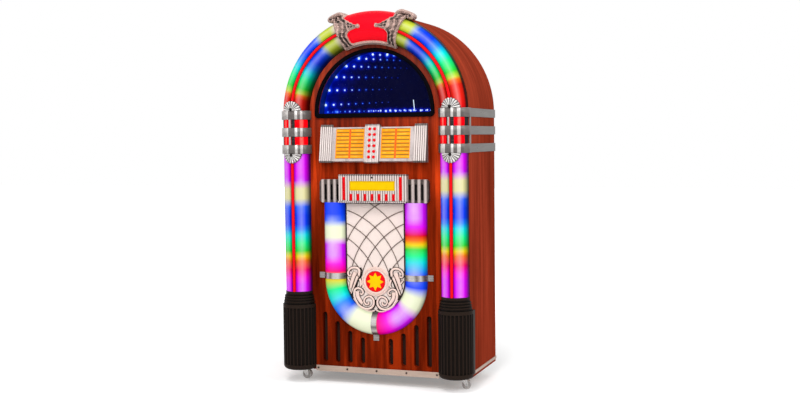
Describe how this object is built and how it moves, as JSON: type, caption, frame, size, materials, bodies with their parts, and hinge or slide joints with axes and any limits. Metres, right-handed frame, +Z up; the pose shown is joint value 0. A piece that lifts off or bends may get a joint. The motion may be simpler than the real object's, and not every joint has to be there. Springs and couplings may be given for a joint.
{
  "type": "bluetooth jukebox",
  "caption": "Arch-topped floor-standing jukebox on swivel casters, with rainbow light tubes, a lit mirror window, a title-card selector with push-buttons and a speaker grille.",
  "frame": {"origin": "on the floor under the middle of the overall box", "axes": "+Z up, front towards -Y, +X to the viewer's right when facing the front"},
  "size_m": [0.68, 0.377, 1.257],
  "materials": {
    "cabinet_wood": "satin lacquer",
    "panel_wood": "satin lacquer",
    "back_board": "plain board",
    "silver_trim": "satin",
    "dark_screws": "dark",
    "zinc_plate": "zinc plated",
    "wheel_plastic": "matte",
    "light_tube": "translucent, lit from inside",
    "red_plastic": "gloss",
    "red_lens": "translucent gloss",
    "chrome": "polished",
    "brushed_metal": "brushed",
    "black_plastic": "satin gloss",
    "cast_pewter": "antique",
    "window_glass": "half-silvered",
    "mirror": "mirror",
    "dark_board": "matte",
    "card": "printed card",
    "silver_plastic": "metallised",
    "yellow_plate": "satin",
    "cream_cloth": "speaker cloth",
    "wire": "dark bronze",
    "cream_plastic": "satin",
    "speaker_metal": "dark",
    "circuit_board": "solder mask",
    "dark_cloth": "speaker cloth"
  },
  "bodies": {
    "cabinet": {"cabinet_shell": "cabinet_wood", "front_panel": "panel_wood", "back_panel": "back_board", "bottom_board": "back_board", "base_trims": "silver_trim", "panel_screws": "dark_screws", "caster_plates": "zinc_plate", "arch_light_tubes": "light_tube", "column_light_tubes": "light_tube", "bowl_light_tube": "light_tube", "crest_strips": "red_plastic", "clamp_lenses": "red_plastic", "console_inlays": "red_plastic", "medallion_disc": "red_plastic", "crown_lens": "red_lens", "clamp_frames": "chrome", "clamp_fans": "chrome", "bowl_straps": "chrome", "selector_caps": "chrome", "button_strip": "chrome", "side_straps": "brushed_metal", "selector_frame": "brushed_metal", "boots": "black_plastic", "window_bezel": "black_plastic", "crown_frame": "cast_pewter", "window_glass": "window_glass", "rear_mirror": "mirror", "window_light_box": "dark_board", "title_cards": "card", "console_block": "silver_plastic", "console_wings": "silver_plastic", "console_plate": "yellow_plate", "grille_cloth": "cream_cloth", "grille_lattice": "wire", "grille_scrollwork": "cream_plastic", "speaker_drivers": "speaker_metal", "power_supply": "speaker_metal", "rear_connectors": "speaker_metal", "circuit_boards": "circuit_board", "vent_cloth": "dark_cloth"},
    "caster_fork_front_left": {"caster_fork_front_left": "zinc_plate"},
    "caster_wheel_front_left": {"caster_wheel_front_left": "wheel_plastic"},
    "caster_fork_front_right": {"caster_fork_front_right": "zinc_plate"},
    "caster_wheel_front_right": {"caster_wheel_front_right": "wheel_plastic"},
    "caster_fork_back_left": {"caster_fork_back_left": "zinc_plate"},
    "caster_wheel_back_left": {"caster_wheel_back_left": "wheel_plastic"},
    "caster_fork_back_right": {"caster_fork_back_right": "zinc_plate"},
    "caster_wheel_back_right": {"caster_wheel_back_right": "wheel_plastic"},
    "select_button_1": {"select_button_1": "red_plastic"},
    "select_button_2": {"select_button_2": "red_plastic"},
    "select_button_3": {"select_button_3": "red_plastic"},
    "select_button_4": {"select_button_4": "red_plastic"},
    "select_button_5": {"select_button_5": "red_plastic"},
    "select_button_6": {"select_button_6": "red_plastic"},
    "select_button_7": {"select_button_7": "red_plastic"},
    "select_button_8": {"select_button_8": "red_plastic"},
    "select_button_9": {"select_button_9": "red_plastic"},
    "select_button_10": {"select_button_10": "red_plastic"},
    "select_button_11": {"select_button_11": "red_plastic"},
    "select_button_12": {"select_button_12": "red_plastic"}
  },
  "joints": [
    {"name": "caster_swivel_front_left", "type": "hinge", "parent": "cabinet", "child": "caster_fork_front_left", "pos_m": [-0.29, -0.0845, 0.038], "axis": [0, 0, 1], "continuous": true},
    {"name": "caster_roll_front_left", "type": "hinge", "parent": "caster_fork_front_left", "child": "caster_wheel_front_left", "pos_m": [-0.27812, -0.08283, 0.016], "axis": [-0.1392, 0.9903, 0], "continuous": true},
    {"name": "caster_swivel_front_right", "type": "hinge", "parent": "cabinet", "child": "caster_fork_front_right", "pos_m": [0.29, -0.0845, 0.038], "axis": [0, 0, 1], "continuous": true},
    {"name": "caster_roll_front_right", "type": "hinge", "parent": "caster_fork_front_right", "child": "caster_wheel_front_right", "pos_m": [0.30188, -0.08283, 0.016], "axis": [-0.1392, 0.9903, 0], "continuous": true},
    {"name": "caster_swivel_back_left", "type": "hinge", "parent": "cabinet", "child": "caster_fork_back_left", "pos_m": [-0.246, 0.1435, 0.038], "axis": [0, 0, 1], "continuous": true},
    {"name": "caster_roll_back_left", "type": "hinge", "parent": "caster_fork_back_left", "child": "caster_wheel_back_left", "pos_m": [-0.24433, 0.13162, 0.016], "axis": [0.9903, 0.1392, 0], "continuous": true},
    {"name": "caster_swivel_back_right", "type": "hinge", "parent": "cabinet", "child": "caster_fork_back_right", "pos_m": [0.246, 0.1435, 0.038], "axis": [0, 0, 1], "continuous": true},
    {"name": "caster_roll_back_right", "type": "hinge", "parent": "caster_fork_back_right", "child": "caster_wheel_back_right", "pos_m": [0.24767, 0.13162, 0.016], "axis": [0.9903, 0.1392, 0], "continuous": true},
    {"name": "button_press_1", "type": "slide", "parent": "cabinet", "child": "select_button_1", "axis": [0, 0.9871, -0.1599], "range_m": [0, 0.002], "stiffness_N_per_m": 400, "springref_m": -0.001},
    {"name": "button_press_2", "type": "slide", "parent": "cabinet", "child": "select_button_2", "axis": [0, 0.9871, -0.1599], "range_m": [0, 0.002], "stiffness_N_per_m": 400, "springref_m": -0.001},
    {"name": "button_press_3", "type": "slide", "parent": "cabinet", "child": "select_button_3", "axis": [0, 0.9871, -0.1599], "range_m": [0, 0.002], "stiffness_N_per_m": 400, "springref_m": -0.001},
    {"name": "button_press_4", "type": "slide", "parent": "cabinet", "child": "select_button_4", "axis": [0, 0.9871, -0.1599], "range_m": [0, 0.002], "stiffness_N_per_m": 400, "springref_m": -0.001},
    {"name": "button_press_5", "type": "slide", "parent": "cabinet", "child": "select_button_5", "axis": [0, 0.9871, -0.1599], "range_m": [0, 0.002], "stiffness_N_per_m": 400, "springref_m": -0.001},
    {"name": "button_press_6", "type": "slide", "parent": "cabinet", "child": "select_button_6", "axis": [0, 0.9871, -0.1599], "range_m": [0, 0.002], "stiffness_N_per_m": 400, "springref_m": -0.001},
    {"name": "button_press_7", "type": "slide", "parent": "cabinet", "child": "select_button_7", "axis": [0, 0.9871, -0.1599], "range_m": [0, 0.002], "stiffness_N_per_m": 400, "springref_m": -0.001},
    {"name": "button_press_8", "type": "slide", "parent": "cabinet", "child": "select_button_8", "axis": [0, 0.9871, -0.1599], "range_m": [0, 0.002], "stiffness_N_per_m": 400, "springref_m": -0.001},
    {"name": "button_press_9", "type": "slide", "parent": "cabinet", "child": "select_button_9", "axis": [0, 0.9871, -0.1599], "range_m": [0, 0.002], "stiffness_N_per_m": 400, "springref_m": -0.001},
    {"name": "button_press_10", "type": "slide", "parent": "cabinet", "child": "select_button_10", "axis": [0, 0.9871, -0.1599], "range_m": [0, 0.002], "stiffness_N_per_m": 400, "springref_m": -0.001},
    {"name": "button_press_11", "type": "slide", "parent": "cabinet", "child": "select_button_11", "axis": [0, 0.9871, -0.1599], "range_m": [0, 0.002], "stiffness_N_per_m": 400, "springref_m": -0.001},
    {"name": "button_press_12", "type": "slide", "parent": "cabinet", "child": "select_button_12", "axis": [0, 0.9871, -0.1599], "range_m": [0, 0.002], "stiffness_N_per_m": 400, "springref_m": -0.001}
  ]
}
